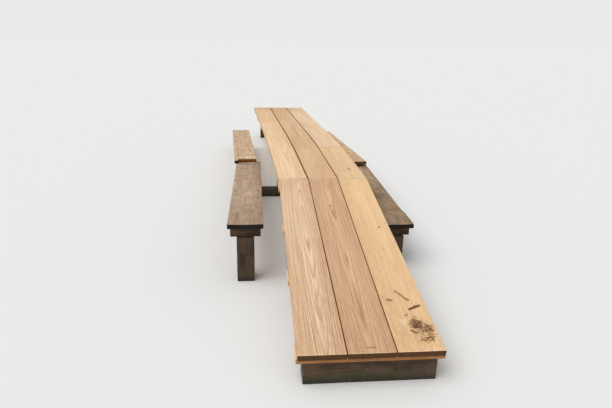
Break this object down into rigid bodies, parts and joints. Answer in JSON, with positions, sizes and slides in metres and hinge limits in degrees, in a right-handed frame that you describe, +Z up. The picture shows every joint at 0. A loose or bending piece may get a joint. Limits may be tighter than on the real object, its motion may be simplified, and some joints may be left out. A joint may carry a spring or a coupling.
{
  "type": "wooden footbridge",
  "caption": "Low plank footbridge: a pale new board deck that ramps up, joints and turns, laid between lapped grey old planks on short timber posts.",
  "frame": {"origin": "on the floor, under the middle of the sill that carries the near end of the deck", "axes": "+Y along the bridge from the near end to the far end, +X across it to the right, +Z up"},
  "size_m": [1.7202, 7.307, 0.599],
  "materials": {
    "deck_board": "bare sawn",
    "cleat": "bare sawn",
    "old_plank": "weathered grey",
    "support_timber": "weathered dark"
  },
  "bodies": {
    "root": {"ramp_board_left": "deck_board", "ramp_board_middle": "deck_board", "ramp_board_right": "deck_board", "short_board_right": "deck_board", "long_board_left": "deck_board", "long_board_middle": "deck_board", "long_board_right": "deck_board", "ramp_cleat_1": "cleat", "ramp_cleat_2": "cleat", "ramp_cleat_3": "cleat", "ramp_cleat_4": "cleat", "long_cleat_1": "cleat", "long_cleat_2": "cleat", "long_cleat_3": "cleat", "long_cleat_4": "cleat", "long_cleat_5": "cleat", "long_cleat_6": "cleat", "old_plank_near_left": "old_plank", "old_plank_near_right": "old_plank", "old_plank_far_left": "old_plank", "old_plank_far_right": "old_plank", "near_sill": "support_timber", "joint_cap": "support_timber", "joint_post_left": "support_timber", "joint_post_right": "support_timber", "middle_cap": "support_timber", "middle_post_left": "support_timber", "middle_post_right": "support_timber", "end_cap": "support_timber", "end_post_left": "support_timber", "end_post_right": "support_timber", "mudsill": "support_timber", "bearer_near_left": "support_timber", "pile_near_left": "support_timber", "bearer_near_right": "support_timber", "pile_near_right": "support_timber", "bearer_middle_left": "support_timber", "pile_middle_left": "support_timber", "bearer_middle_right": "support_timber", "pile_middle_right": "support_timber", "bearer_far_left": "support_timber", "pile_far_left": "support_timber", "bearer_far_right": "support_timber", "pile_far_right": "support_timber"}
  },
  "joints": []
}
